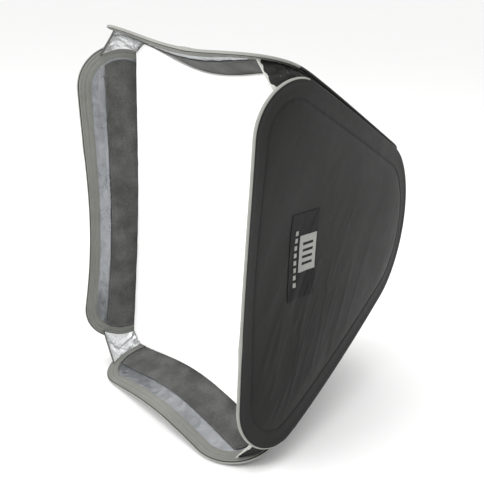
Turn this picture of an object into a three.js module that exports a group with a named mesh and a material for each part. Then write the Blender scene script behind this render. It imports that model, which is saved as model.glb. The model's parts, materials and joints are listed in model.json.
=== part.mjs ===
// Folding studio softbox: four spring-wire panels sewn corner to corner into a
// tapering box, a white diffuser held inside its mouth by hook-and-loop tape, and
// four hook-and-loop tabs round the small rear opening that grip the lamp.
//
// Frame: millimetres, +X across the mouth, +Z up, the mouth faces -Y.
// Origin: the centre of the rear opening, where the lamp sits.
import * as THREE from 'three';

// ---- Overall sizes -------------------------------------------------------------
const openingWidth = 440;        // mouth, between the corner seams
const openingHeight = 570;
const rearWidth = 140;           // rear opening, between the corner seams
const rearHeight = 182;
const bodyDepth = 420;           // mouth plane to rear plane

// ---- Hoops ---------------------------------------------------------------------
const hoopCornerRadius = 70;     // the two front corners of every hoop
const seamInset = 6;             // hoop edge to corner seam, measured along the panel
const wireDiameter = 2.1;
const wireInset = 3.8;           // hoop edge to wire centre
const ferruleLength = 20;
const ferruleWall = 0.4;
const ferruleClearance = 0.3;    // wire to ferrule bore

// ---- Edge binding and the two cloths of a panel -----------------------------------
const bindingThickness = 0.75;
const bindingHalfHeight = 2.8;   // outer half height of the folded tape
const bindingInnerLeg = 16;      // width of the tape on the inside of the panel
const bindingOuterLeg = 8;       // width of the tape on the outside
const clothInset = 6.1;          // hoop edge to the cut edge of the cloths
const clothThickness = 1.0;
const clothGap = 0.15;           // cloth face to the panel's middle surface
const clothShares = [0.82, 0.62, 0.35];    // rings of each cloth, as shares of the way from its middle

// ---- Shape the springs pull each panel into ------------------------------------------
const sideBulge = 17;            // outward curve of the tall panels at mid depth
const flatBulge = 10;            // the same for the top and bottom panels
const waveReach = 0.28;          // share of the depth over which the rim waves die away
const clothMiddle = 0.45;        // share of a panel's slope where its cloth rings meet

// ---- Points along a hoop's outline -----------------------------------------------------
const frontArcSteps = 6;
const rearArcSteps = 12;
const sideSteps = 4;
const rimSteps = 10;
const ferruleSteps = 3;          // rim corner to the wire joint, in rim steps
const gussetFrontStep = 3;       // front arc step where a gusset starts
const gussetRearSteps = 3;       // steps of the rear arc that a gusset covers

// ---- Diffuser and its hook-and-loop tape ---------------------------------------------
const loopBandStart = 42;        // rim to loop tape, down the panel
const loopBandWidth = 60;
const diffuserBandStep = 19;     // rear edge of the loop tape to the diffuser in front of it
const diffuserDepth = loopBandStart + loopBandWidth - diffuserBandStep;
const diffuserThickness = 1.0;
const diffuserClearance = 6;     // panel middle surface to the diffuser's edge
const diffuserGussetGap = 3;     // gusset seam to the start of the diffuser's cut corner
const diffuserSideSteps = 10;
const loopBandThickness = 1.0;
const loopBandLift = 2.4;        // panel middle surface to the back of the loop tape
const hookStripWidth = 16;
const hookStripThickness = 1.2;
const hookGap = 0.5;             // loop tape face to hook tape
const hookStripStep = 3;         // diffuser to the front edge of the hook tape
const tapeEndGap = 4;            // end of a tape to the edge binding

// ---- Corner gussets --------------------------------------------------------------------
const gussetLap = 8;             // hoop edge to the line where the gusset is sewn on
const gussetLift = 3.6;          // panel middle surface to the gusset
const gussetThickness = 0.8;
const gussetTapeWidth = 5;
const gussetTapeThickness = 1.6;
const gussetTapeGap = 0.4;
const gussetTapeMargin = 0.1;    // share of the free edge left bare at each end of its tape

// ---- Rear tabs -----------------------------------------------------------------------
const tabLength = 58;
const tabWidth = 38;
const tabThickness = 1.2;
const tabRearGap = 2;            // edge binding to the tab's sewn end
const tabLift = 6.4;             // panel middle surface to the tab's middle
const tabSideSag = 1;            // extra lift for the hollow that the panel's curve leaves
const hookPadLength = 40;
const hookPadWidth = 32;
const hookPadThickness = 1.0;
const hookPadGap = 0.3;
const hookPadEndGap = 6;         // free end of the tab to the pad

// ---- Label patch on the right panel --------------------------------------------------
const labelDepth = 123;          // rim to the middle of the patch, down the panel
const labelRise = 9;             // panel centre line to the middle of the patch
const labelLength = 117;
const labelWidth = 60;
const labelThickness = 0.8;
const labelLift = 2.3;
const badgeLength = 50;
const badgeWidth = 36;
const badgeThickness = 0.5;
const badgeGap = 0.35;
const badgeShift = 9;            // middle of the patch to middle of the badge, rearwards
const badgeRise = 2;

// Each panel: which way it faces, its half sizes at mouth and rear, and the shape of
// its rim. pinch pulls the middle of the rim in, wave lifts the middle against the
// ends, and lean tips one end out and the other in. ferruleSide is the end of the rim that
// the wire joint is near.
const tall = { half: openingWidth / 2, rearHalf: rearWidth / 2,
  span: openingHeight / 2, rearSpan: rearHeight / 2, bulge: sideBulge };
const flat = { half: openingHeight / 2, rearHalf: rearHeight / 2,
  span: openingWidth / 2, rearSpan: rearWidth / 2, bulge: flatBulge };
const panels = {
  right: { ...tall, outward: [1, 0, 0], along: [0, 0, 1],
    pinch: 35, wave: -16, lean: 2, ferruleSide: -1 },
  left: { ...tall, outward: [-1, 0, 0], along: [0, 0, 1],
    pinch: 12, wave: 12, lean: 11, ferruleSide: 1 },
  bottom: { ...flat, outward: [0, 0, -1], along: [1, 0, 0],
    pinch: 31, wave: -7, lean: -1, ferruleSide: 1 },
  top: { ...flat, outward: [0, 0, 1], along: [1, 0, 0],
    pinch: 35, wave: -13, lean: -5, ferruleSide: 1 },
};
for (const panel of Object.values(panels)) {
  panel.slope = Math.hypot(bodyDepth, panel.half - panel.rearHalf);
  panel.taper = Math.atan2(panel.span - panel.rearSpan, panel.slope);
}
const corners = {
  top_right: { tallSide: 'right', flatSide: 'top', tallEnd: 1, flatEnd: 1 },
  top_left: { tallSide: 'left', flatSide: 'top', tallEnd: 1, flatEnd: -1 },
  bottom_right: { tallSide: 'right', flatSide: 'bottom', tallEnd: -1, flatEnd: 1 },
  bottom_left: { tallSide: 'left', flatSide: 'bottom', tallEnd: -1, flatEnd: -1 },
};

// ---- Materials ----------------------------------------------------------------------
function fabric(color, roughness = 0.9, metalness = 0) {
  return new THREE.MeshStandardMaterial({ color, roughness, metalness });
}
const blackNylon = fabric(0x2a2a29, 0.7);
const silverCloth = fabric(0x9ea0a4, 0.4, 0.6);
const greyTape = fabric(0x7f807c);
const loopTape = fabric(0x5e5f5e, 1);
const springSteel = fabric(0x8d8f92, 0.35, 1);
const whiteCloth = fabric(0xf7f7f5, 0.85);
const blackWeb = fabric(0x1c1c1c);
const labelBlack = fabric(0x202020);
const labelGrey = fabric(0xb9b9b7);

// ---- Closed meshes -------------------------------------------------------------------
// Builds a closed body from points and triangles and turns its faces outwards.
function closedBody(points, triangles) {
  let volume = 0;
  for (const [a, b, c] of triangles) {
    volume += points[a].dot(new THREE.Vector3().crossVectors(points[b], points[c]));
  }
  const order = volume < 0 ? ([a, b, c]) => [a, c, b] : (triangle) => triangle;
  const geometry = new THREE.BufferGeometry().setFromPoints(points);
  geometry.setIndex(triangles.flatMap(order));
  geometry.computeVertexNormals();
  return geometry;
}

// A section carried round a closed path: place(station, corner) gives each point.
function ringBody(stationCount, cornerCount, place) {
  const points = [];
  const triangles = [];
  for (let i = 0; i < stationCount; i++) {
    for (let j = 0; j < cornerCount; j++) {
      points.push(place(i, j));
      const nextI = (i + 1) % stationCount;
      const nextJ = (j + 1) % cornerCount;
      const [a, b] = [i * cornerCount + j, nextI * cornerCount + j];
      const [c, d] = [nextI * cornerCount + nextJ, i * cornerCount + nextJ];
      triangles.push([a, b, c], [a, c, d]);
    }
  }
  return closedBody(points, triangles);
}

// A rectangular sheet with two faces: place(column share, row share, face) with face 0 or 1.
function sheetBody(columns, rows, place) {
  const points = [];
  const triangles = [];
  const index = (i, j, face) => (i * (rows + 1) + j) * 2 + face;
  for (let i = 0; i <= columns; i++) {
    for (let j = 0; j <= rows; j++) {
      points.push(place(i / columns, j / rows, 0), place(i / columns, j / rows, 1));
    }
  }
  const quad = (a, b, c, d) => triangles.push([a, b, c], [a, c, d]);
  for (let i = 0; i < columns; i++) {
    for (let j = 0; j < rows; j++) {
      quad(index(i, j, 0), index(i + 1, j, 0), index(i + 1, j + 1, 0), index(i, j + 1, 0));
      quad(index(i, j, 1), index(i, j + 1, 1), index(i + 1, j + 1, 1), index(i + 1, j, 1));
    }
    quad(index(i, 0, 1), index(i + 1, 0, 1), index(i + 1, 0, 0), index(i, 0, 0));
    quad(index(i, rows, 0), index(i + 1, rows, 0), index(i + 1, rows, 1), index(i, rows, 1));
  }
  for (let j = 0; j < rows; j++) {
    quad(index(0, j, 0), index(0, j + 1, 0), index(0, j + 1, 1), index(0, j, 1));
    quad(index(columns, j, 1), index(columns, j + 1, 1), index(columns, j + 1, 0), index(columns, j, 0));
  }
  return closedBody(points, triangles);
}

// A sheet with a rim of any outline, filled by rings that shrink to its middle:
// place(station, ring, face) gives each point, and the last ring is the single middle point.
function discBody(stationCount, ringsAndMiddle, place) {
  const rings = ringsAndMiddle.slice(0, -1);
  const points = [];
  const triangles = [];
  const faceSize = stationCount * rings.length + 1;
  for (const face of [0, 1]) {
    const index = (ring, i) => face * faceSize + ring * stationCount + (i % stationCount);
    const middle = face * faceSize + faceSize - 1;
    const add = (a, b, c) => triangles.push(face ? [a, c, b] : [a, b, c]);
    rings.forEach((ring) => {
      for (let i = 0; i < stationCount; i++) points.push(place(i, ring, face));
    });
    points.push(place(0, ringsAndMiddle.at(-1), face));
    for (let i = 0; i < stationCount; i++) {
      for (let ring = 0; ring + 1 < rings.length; ring++) {
        add(index(ring, i), index(ring, i + 1), index(ring + 1, i + 1));
        add(index(ring, i), index(ring + 1, i + 1), index(ring + 1, i));
      }
      add(index(rings.length - 1, i), index(rings.length - 1, i + 1), middle);
    }
  }
  for (let i = 0; i < stationCount; i++) {
    const next = (i + 1) % stationCount;
    triangles.push([next, i, faceSize + i], [next, faceSize + i, faceSize + next]);
  }
  return closedBody(points, triangles);
}

// ---- The shape of a panel --------------------------------------------------------------
// Distance of a panel's middle surface from the box axis, at a place along the rim and
// a share of the depth: a straight taper, an outward curve, and the waves of the rim.
function panelDistance(panel, alongRim, depthShare) {
  const q = THREE.MathUtils.clamp(alongRim / panel.span, -1, 1);
  const fade = Math.max(0, 1 - depthShare / waveReach) ** 2;
  const rimWave = (panel.lean * Math.sin(Math.PI * q) - panel.wave * Math.cos(Math.PI * q)) * fade;
  const pinch = panel.pinch * Math.cos(Math.PI * q / 2) ** 2 * (1 - depthShare);
  const curve = panel.bulge * 4 * depthShare * (1 - depthShare);
  return THREE.MathUtils.lerp(panel.half, panel.rearHalf, depthShare) + curve + rimWave - pinch;
}

// A point of a panel: alongRim across it, down from the rim towards the rear, and
// height above its middle surface (outwards positive).
function panelPoint(panel, alongRim, down, height) {
  const share = down / panel.slope;
  const distance = panelDistance(panel, alongRim, share) + height * bodyDepth / panel.slope;
  const point = new THREE.Vector3(0, bodyDepth * (share - 1), 0);
  point.y += height * (panel.half - panel.rearHalf) / panel.slope;
  point.addScaledVector(new THREE.Vector3(...panel.along), alongRim);
  return point.addScaledVector(new THREE.Vector3(...panel.outward), distance);
}

// The hoop's outline, as a Shape in the flat panel: a straight rim, two round front
// corners, two straight tapering sides and one rear arc that runs into both sides.
function hoopOutline(panel) {
  const inset = seamInset / Math.cos(panel.taper);
  const rimHalf = panel.span - inset;
  const rearHalf = panel.rearSpan - inset;
  const radius = hoopCornerRadius;
  const turn = Math.PI / 2 - panel.taper;
  const corner = new THREE.Vector2(rimHalf - radius / Math.tan(turn / 2), radius);
  const rearRadius = rearHalf * Math.cos(panel.taper) / (1 - Math.sin(panel.taper));
  const rearCentre = panel.slope - rearRadius;
  const arc = (x, y, r, from, to, count) => Array.from({ length: count + 1 }, (_, k) => {
    const angle = THREE.MathUtils.lerp(from, to, k / count);
    const normal = new THREE.Vector2(Math.cos(angle), Math.sin(angle));
    return { at: new THREE.Vector2(x, y).addScaledVector(normal, r), inward: normal.negate() };
  });
  const line = (a, b, count) => Array.from({ length: count - 1 }, (_, k) => ({
    at: a.at.clone().lerp(b.at, (k + 1) / count),
    inward: a.inward.clone(),
  }));
  const front = arc(corner.x, corner.y, radius, -Math.PI / 2, panel.taper, frontArcSteps);
  const rear = arc(0, rearCentre, rearRadius, panel.taper, Math.PI - panel.taper, rearArcSteps);
  const mirror = (part) => part.map(({ at, inward }) => ({
    at: new THREE.Vector2(-at.x, at.y), inward: new THREE.Vector2(-inward.x, inward.y),
  })).reverse();
  const side = line(front.at(-1), rear[0], sideSteps);
  const half = [...front, ...side];
  const rim = line(mirror(front).at(-1), front[0], rimSteps);
  return { stations: [...half, ...rear, ...mirror(half), ...rim], corner, sideHalf: rimHalf,
    rearStart: half.length };
}
for (const panel of Object.values(panels)) panel.outline = hoopOutline(panel);

// A point measured from the hoop's edge: inward from a station of its outline.
function edgePoint(panel, station, inward, height) {
  const { at, inward: normal } = panel.outline.stations[station];
  const place = at.clone().addScaledVector(normal, inward);
  return panelPoint(panel, place.x, place.y, height);
}

// ---- Pieces of one panel --------------------------------------------------------------
function hoopWire(panel) {
  const sides = 6;
  return ringBody(panel.outline.stations.length, sides, (i, j) => {
    const angle = 2 * Math.PI * j / sides;
    const radius = wireDiameter / 2;
    return edgePoint(panel, i, wireInset + radius * Math.cos(angle), radius * Math.sin(angle));
  });
}

// The crimped sleeve that joins the two ends of the wire, on one straight of the rim.
function wireFerrule(panel) {
  const sides = 8;
  const count = panel.outline.stations.length;
  const station = count - (panel.ferruleSide > 0 ? ferruleSteps : rimSteps + 1 - ferruleSteps);
  const start = edgePoint(panel, station, wireInset, 0);
  const end = edgePoint(panel, station + 1, wireInset, 0);
  const middle = start.clone().lerp(end, 0.5);
  const direction = end.clone().sub(start).normalize();
  const up = new THREE.Vector3(...panel.outward).cross(direction).normalize();
  const across = direction.clone().cross(up);
  const bore = wireDiameter / 2 + ferruleClearance;
  const section = [[-1, bore], [1, bore], [1, bore + ferruleWall], [-1, bore + ferruleWall]];
  return ringBody(sides, section.length, (i, j) => {
    const angle = 2 * Math.PI * i / sides;
    const [lengthSide, radius] = section[j];
    return middle.clone().addScaledVector(direction, lengthSide * ferruleLength / 2)
      .addScaledVector(up, radius * Math.cos(angle)).addScaledVector(across, radius * Math.sin(angle));
  });
}

// The tape folded round the hoop's edge: wide on the inside, narrow on the outside.
function edgeBinding(panel) {
  const outer = bindingHalfHeight;
  const inner = bindingHalfHeight - bindingThickness;
  const section = [
    [bindingInnerLeg, -outer], [outer, -outer], [0, 0], [outer, outer], [bindingOuterLeg, outer],
    [bindingOuterLeg, inner], [inner + bindingThickness, inner], [bindingThickness, 0],
    [inner + bindingThickness, -inner], [bindingInnerLeg, -inner],
  ];
  return ringBody(panel.outline.stations.length, section.length,
    (i, j) => edgePoint(panel, i, section[j][0], section[j][1]));
}

// Its second ring lies at the binding's inner edge, so that it follows the panel under the leg.
function panelCloth(panel, side) {
  const middle = new THREE.Vector2(0, panel.slope * clothMiddle);
  const rings = [[clothInset, 1], [bindingInnerLeg, 1], ...clothShares.map((share) => [clothInset, share])];
  return discBody(panel.outline.stations.length, [...rings, [clothInset, 0]], (i, [inset, share], face) => {
    const { at, inward } = panel.outline.stations[i];
    const place = at.clone().addScaledVector(inward, inset).lerp(middle, 1 - share);
    return panelPoint(panel, place.x, place.y, side * (clothGap + face * clothThickness));
  });
}

// Half the clear length across a panel at one depth, for a piece that stays a given
// distance inside the hoop: a chord of the corner arc, then the tapering side.
function clearHalf(panel, down, inset) {
  const { corner, sideHalf } = panel.outline;
  const side = sideHalf - inset / Math.cos(panel.taper) - down * Math.tan(panel.taper);
  const rise = hoopCornerRadius - down;
  const radius = hoopCornerRadius - inset;
  const arcEnd = hoopCornerRadius + radius * Math.sin(panel.taper);
  if (down >= arcEnd) return side;
  return corner.x + Math.sqrt(Math.max(0, radius ** 2 - rise ** 2));
}

// A tape that runs across the panel at one depth, from corner to corner.
function crossTape(panel, start, width, lift, thickness) {
  return sheetBody(12, 2, (u, v, face) => {
    const down = start + v * width;
    const halfLength = clearHalf(panel, down, bindingInnerLeg + tapeEndGap);
    return panelPoint(panel, (2 * u - 1) * halfLength, down, -lift - face * thickness);
  });
}

function diffuserDown(panel) {
  return diffuserDepth * panel.slope / bodyDepth;
}

// ---- Diffuser ----------------------------------------------------------------------------
// Its edge follows the inside of the four panels at one depth, and its corners are cut
// straight, just inside the gusset seams.
function diffuserCloth() {
  const share = diffuserDepth / bodyDepth;
  const reach = (name, alongRim) => panelDistance(panels[name], alongRim, share) - diffuserClearance;
  const sideHalf = (panel) => clearHalf(panel, diffuserDown(panel), gussetLap) - diffuserGussetGap;
  const halfX = sideHalf(panels.top);
  const halfZ = sideHalf(panels.right);
  const between = (from, to) => Array.from({ length: diffuserSideSteps + 1 },
    (_, k) => THREE.MathUtils.lerp(from, to, k / diffuserSideSteps));
  const rim = [
    ...between(-halfZ, halfZ).map((z) => [reach('right', z), z]),
    ...between(halfX, -halfX).map((x) => [x, reach('top', x)]),
    ...between(halfZ, -halfZ).map((z) => [-reach('left', z), z]),
    ...between(-halfX, halfX).map((x) => [x, -reach('bottom', x)]),
  ];
  return discBody(rim.length, [1, 0.6, 0], (i, ring, face) => {
    const [x, z] = rim[i];
    return new THREE.Vector3(x * ring, diffuserDepth - bodyDepth - face * diffuserThickness, z * ring);
  });
}

// ---- Corner gussets -----------------------------------------------------------------
// One cloth per corner, sewn inside both hoops from half way round their front corners
// to the rear arcs. It is wide at both ends, where the hoops curve apart.
function cornerStations(corner) {
  const list = [];
  for (const [side, end] of [[corner.tallSide, corner.tallEnd], [corner.flatSide, corner.flatEnd]]) {
    const { rearStart } = panels[side].outline;
    const mirrored = (k) => 2 * rearStart + rearArcSteps - k;
    const count = rearStart + gussetRearSteps - gussetFrontStep + 1;
    const run = Array.from({ length: count }, (_, k) => gussetFrontStep + k);
    list.push(run.map((k) => (end > 0 ? k : mirrored(k))));
  }
  return list;
}

function cornerFrame(corner) {
  const [tallRun, flatRun] = cornerStations(corner);
  const tallPanel = panels[corner.tallSide];
  const flatPanel = panels[corner.flatSide];
  const inwards = new THREE.Vector3(...tallPanel.outward).add(new THREE.Vector3(...flatPanel.outward));
  inwards.normalize().negate();
  const ends = tallRun.map((station, k) => [
    edgePoint(tallPanel, station, gussetLap, -gussetLift),
    edgePoint(flatPanel, flatRun[k], gussetLap, -gussetLift),
  ]);
  return { ends, inwards };
}

function cornerGusset(corner) {
  const { ends, inwards } = cornerFrame(corner);
  return sheetBody(ends.length - 1, 2, (u, v, face) => {
    const [a, b] = ends[Math.round(u * (ends.length - 1))];
    const offset = (face - 0.5) * gussetThickness;
    return a.clone().lerp(b, v).addScaledVector(inwards, offset);
  });
}

// The tape that binds the gusset's free edge at the mouth.
function gussetTape(corner) {
  const { ends, inwards } = cornerFrame(corner);
  const middle = ([a, b]) => a.clone().lerp(b, 0.5);
  const forward = middle(ends[0]).sub(middle(ends[1])).normalize();
  return sheetBody(4, 1, (u, v, face) => {
    const [a, b] = ends[0];
    const share = THREE.MathUtils.lerp(gussetTapeMargin, 1 - gussetTapeMargin, u);
    return a.clone().lerp(b, share).addScaledVector(forward, gussetTapeGap + v * gussetTapeWidth)
      .addScaledVector(inwards, (face - 0.5) * gussetTapeThickness);
  });
}

// ---- Rear tabs -----------------------------------------------------------------------
// Flat tabs, folded forwards inside the box, each sewn on just inside the rear binding.
function tabFrame(panel) {
  const down = panel.slope - bindingInnerLeg - tabRearGap;
  const lift = tabLift + tabSideSag;
  const root = panelPoint(panel, 0, down, -lift);
  const tip = panelPoint(panel, 0, down - tabLength, -lift);
  const forward = tip.clone().sub(root).normalize();
  const along = new THREE.Vector3(...panel.along);
  const outward = new THREE.Vector3(...panel.outward);
  outward.addScaledVector(forward, -outward.dot(forward)).normalize();
  return { root, forward, along, outward };
}

function flatStrip(frame, from, length, width, base, thickness) {
  return sheetBody(1, 1, (u, v, face) => frame.root.clone()
    .addScaledVector(frame.forward, from + u * length)
    .addScaledVector(frame.along, (v - 0.5) * width)
    .addScaledVector(frame.outward, base + face * thickness));
}

function rearTab(panel) {
  return flatStrip(tabFrame(panel), 0, tabLength, tabWidth, -tabThickness / 2, tabThickness);
}

function hookPad(panel) {
  const from = tabLength - hookPadEndGap - hookPadLength;
  const base = tabThickness / 2 + hookPadGap;
  return flatStrip(tabFrame(panel), from, hookPadLength, hookPadWidth, base, hookPadThickness);
}

// ---- Label ---------------------------------------------------------------------------
// A rectangle that lies on the outside of a panel.
function outsidePatch(panel, rise, down, length, width, lift, thickness) {
  return sheetBody(4, 2, (u, v, face) => panelPoint(panel,
    rise + (u - 0.5) * length, down + (v - 0.5) * width, lift + face * thickness));
}

// ---- Assembly ------------------------------------------------------------------------
const softbox = new THREE.Group();
function addPiece(name, geometry, material) {
  const mesh = new THREE.Mesh(geometry, material);
  mesh.name = name;
  softbox.add(mesh);
}

for (const [side, panel] of Object.entries(panels)) {
  const hookStart = diffuserDown(panel) + hookStripStep;
  const hookLift = loopBandLift + loopBandThickness + hookGap;
  addPiece(`${side}_hoop_wire`, hoopWire(panel), springSteel);
  addPiece(`${side}_wire_ferrule`, wireFerrule(panel), springSteel);
  addPiece(`${side}_edge_binding`, edgeBinding(panel), greyTape);
  addPiece(`${side}_outer_skin`, panelCloth(panel, 1), blackNylon);
  addPiece(`${side}_silver_lining`, panelCloth(panel, -1), silverCloth);
  addPiece(`${side}_loop_band`,
    crossTape(panel, loopBandStart, loopBandWidth, loopBandLift, loopBandThickness), loopTape);
  addPiece(`diffuser_hook_strip_${side}`,
    crossTape(panel, hookStart, hookStripWidth, hookLift, hookStripThickness), whiteCloth);
  addPiece(`rear_tab_${side}`, rearTab(panel), blackWeb);
  addPiece(`rear_tab_hook_pad_${side}`, hookPad(panel), blackWeb);
}
for (const [place, corner] of Object.entries(corners)) {
  addPiece(`corner_gusset_${place}`, cornerGusset(corner), silverCloth);
  addPiece(`gusset_tape_${place}`, gussetTape(corner), greyTape);
}
addPiece('diffuser_cloth', diffuserCloth(), whiteCloth);
addPiece('label_patch', outsidePatch(panels.right, labelRise, labelDepth,
  labelLength, labelWidth, labelLift, labelThickness), labelBlack);
addPiece('label_badge', outsidePatch(panels.right, labelRise + badgeRise, labelDepth + badgeShift,
  badgeLength, badgeWidth, labelLift + labelThickness + badgeGap, badgeThickness), labelGrey);

export default softbox;
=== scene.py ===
"""Folding studio softbox: the finish of every sewn piece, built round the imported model."""
import bpy
import json
import numpy as np
from math import atan2, cos, hypot, pi, radians, sin, sqrt, tan
from mathutils import Euler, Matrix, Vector
from types import SimpleNamespace


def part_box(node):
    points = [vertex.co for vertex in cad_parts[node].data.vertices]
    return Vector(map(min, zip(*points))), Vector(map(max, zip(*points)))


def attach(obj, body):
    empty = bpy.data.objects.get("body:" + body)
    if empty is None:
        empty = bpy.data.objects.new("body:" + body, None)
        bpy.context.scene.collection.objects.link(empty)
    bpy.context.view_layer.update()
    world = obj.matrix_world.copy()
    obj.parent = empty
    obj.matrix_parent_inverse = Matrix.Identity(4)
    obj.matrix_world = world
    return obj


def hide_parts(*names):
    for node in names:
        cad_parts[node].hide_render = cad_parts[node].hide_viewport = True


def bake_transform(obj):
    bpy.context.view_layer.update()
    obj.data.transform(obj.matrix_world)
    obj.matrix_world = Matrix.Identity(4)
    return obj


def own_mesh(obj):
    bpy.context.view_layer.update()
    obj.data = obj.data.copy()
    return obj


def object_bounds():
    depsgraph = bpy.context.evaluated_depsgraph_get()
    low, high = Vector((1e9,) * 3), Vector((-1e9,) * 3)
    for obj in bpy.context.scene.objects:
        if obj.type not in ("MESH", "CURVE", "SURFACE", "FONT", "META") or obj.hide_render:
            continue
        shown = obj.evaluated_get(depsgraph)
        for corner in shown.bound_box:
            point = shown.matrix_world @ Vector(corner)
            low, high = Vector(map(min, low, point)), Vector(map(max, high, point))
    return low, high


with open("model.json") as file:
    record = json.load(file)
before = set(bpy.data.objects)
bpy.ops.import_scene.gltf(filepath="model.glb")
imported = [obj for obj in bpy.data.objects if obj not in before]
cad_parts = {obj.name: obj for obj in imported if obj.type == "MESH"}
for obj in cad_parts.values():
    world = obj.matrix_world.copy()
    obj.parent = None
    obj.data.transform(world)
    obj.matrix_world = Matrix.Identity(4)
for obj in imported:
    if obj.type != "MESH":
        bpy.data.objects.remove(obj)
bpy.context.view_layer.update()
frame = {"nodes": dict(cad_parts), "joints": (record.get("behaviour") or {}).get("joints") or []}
mm = 0.001


# ---- Hoop wires and their sleeves ------------------------------------------------------------
# Each panel is held open by a closed hoop of round spring steel wire, whose two ends meet
# in a crimped steel sleeve. They lie inside the edge binding, so the modelled solids stay.

def add_node(tree, kind, inputs=None, **settings):
    """One shader node with its settings, and each input set to a value or linked to a socket."""
    node = tree.nodes.new("ShaderNode" + kind)
    for key, value in settings.items():
        setattr(node, key, value)
    for key, value in (inputs or {}).items():
        if isinstance(value, bpy.types.NodeSocket):
            tree.links.new(value, node.inputs[key])
        else:
            node.inputs[key].default_value = value
    return node


def plain_material(name, colour, roughness, metallic=0.0, sheen=0.0, gloss=0.5):
    """A material whose shader has its plain sockets set; gloss is the level of its mirror
    reflection. Returns it, its tree and its shader."""
    material = bpy.data.materials.new(name)
    material.use_nodes = True
    shader = material.node_tree.nodes["Principled BSDF"]
    shader.inputs["Base Color"].default_value = (*colour, 1)
    shader.inputs["Roughness"].default_value = roughness
    shader.inputs["Metallic"].default_value = metallic
    shader.inputs["Sheen Weight"].default_value = sheen
    shader.inputs["Specular IOR Level"].default_value = gloss
    return material, material.node_tree, shader


def shader_group(name, inputs, outputs):
    """A node group with named sockets. Returns the group, its inner inputs and its inner outputs."""
    group = bpy.data.node_groups.new(name, "ShaderNodeTree")
    for socket, kind in inputs:
        group.interface.new_socket(socket, in_out="INPUT", socket_type="NodeSocket" + kind)
    for socket, kind in outputs:
        group.interface.new_socket(socket, in_out="OUTPUT", socket_type="NodeSocket" + kind)
    enter = group.nodes.new("NodeGroupInput")
    leave = group.nodes.new("NodeGroupOutput")
    return group, enter.outputs, leave


def handling_group():
    """Soft uneven patches left by handling: two sizes of noise, summed and spread to 0..1."""
    group, given, leave = shader_group("handling marks", [("Vector", "Vector"), ("Scale", "Float")],
                                       [("Mask", "Float")])
    broad = add_node(group, "TexNoise",
                     {"Vector": given["Vector"], "Scale": given["Scale"], "Detail": 4.0})
    fine_scale = add_node(group, "Math", {0: given["Scale"], 1: 9.0}, operation="MULTIPLY")
    fine = add_node(group, "TexNoise", {"Vector": given["Vector"], "Scale": fine_scale.outputs[0],
                                        "Detail": 2.0})
    both = add_node(group, "Math", {0: fine.outputs["Fac"], 1: 0.35, 2: broad.outputs["Fac"]},
                    operation="MULTIPLY_ADD")
    spread = add_node(group, "MapRange", {"Value": both.outputs[0], "From Min": 0.45, "From Max": 0.9})
    group.links.new(spread.outputs[0], leave.inputs["Mask"])
    return group


def place_group(tree, group, inputs):
    """A node that uses a shader group, with its inputs set or linked."""
    return add_node(tree, "Group", inputs, node_tree=group)


def vary_colour(tree, shader, mask, dark, light):
    """Mixes a darker and a lighter shade of the finish by a mask."""
    mix = add_node(tree, "Mix", {0: mask}, data_type="RGBA")
    mix.inputs[6].default_value = (*dark, 1)
    mix.inputs[7].default_value = (*light, 1)
    tree.links.new(mix.outputs[2], shader.inputs["Base Color"])


def add_bump(tree, shader, height, strength, distance, under=None):
    """A Bump node on the shader's normal, over another one if it is given."""
    bump = add_node(tree, "Bump", {"Height": height, "Strength": strength, "Distance": distance})
    if under:
        tree.links.new(under.outputs[0], bump.inputs["Normal"])
    tree.links.new(bump.outputs[0], shader.inputs["Normal"])
    return bump


handling = handling_group()


def wire_steel():
    """Drawn spring steel: fine lines round the wire and a few dull patches."""
    material, tree, shader = plain_material("spring_steel", (0.45, 0.45, 0.46), 0.3, 1.0)
    where = add_node(tree, "TexCoord").outputs["Object"]
    marks = place_group(tree, handling, {"Vector": where, "Scale": 60.0})
    vary_colour(tree, shader, marks.outputs[0], (0.36, 0.36, 0.37), (0.52, 0.52, 0.53))
    add_bump(tree, shader, marks.outputs[0], 0.2, 0.0002)
    return material


steel = wire_steel()
sides = ("right", "left", "bottom", "top")
for side in sides:
    for piece in ("hoop_wire", "wire_ferrule"):
        node = frame["nodes"][f"{side}_{piece}"]
        node.data.materials.clear()
        node.data.materials.append(steel)


# ---- Outer skins -----------------------------------------------------------------------------
# The outside of each panel is tight black nylon. Its wide hem makes the channel for the hoop;
# inside the hem's seam the cloth is a little slack and stands proud, with shallow slant folds.

opening_width, opening_height = 440 * mm, 570 * mm
rear_width, rear_height = 140 * mm, 182 * mm
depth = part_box("right_edge_binding")[1][1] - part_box("right_edge_binding")[0][1]
corner_radius = 70 * mm
seam_inset = 6 * mm
wave_reach = 0.28


def make_panel(width, height, rear_w, rear_h, bulge, outward, along, pinch, wave, lean):
    """A panel's half sizes at mouth and rear, the shape of its rim, and its slope and taper."""
    panel = SimpleNamespace(half=width / 2, rear_half=rear_w / 2, span=height / 2, rear_span=rear_h / 2,
                            bulge=bulge * mm, pinch=pinch * mm, wave=wave * mm, lean=lean * mm,
                            outward=np.array(outward, float), along=np.array(along, float))
    panel.slope = hypot(depth, panel.half - panel.rear_half)
    panel.taper = atan2(panel.span - panel.rear_span, panel.slope)
    return panel


tall = (opening_width, opening_height, rear_width, rear_height, 17)
flat = (opening_height, opening_width, rear_height, rear_width, 10)
panels = {
    "right": make_panel(*tall, (1, 0, 0), (0, 0, 1), pinch=35, wave=-16, lean=2),
    "left": make_panel(*tall, (-1, 0, 0), (0, 0, 1), pinch=12, wave=12, lean=11),
    "bottom": make_panel(*flat, (0, 0, -1), (1, 0, 0), pinch=31, wave=-7, lean=-1),
    "top": make_panel(*flat, (0, 0, 1), (1, 0, 0), pinch=35, wave=-13, lean=-5),
}


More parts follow.
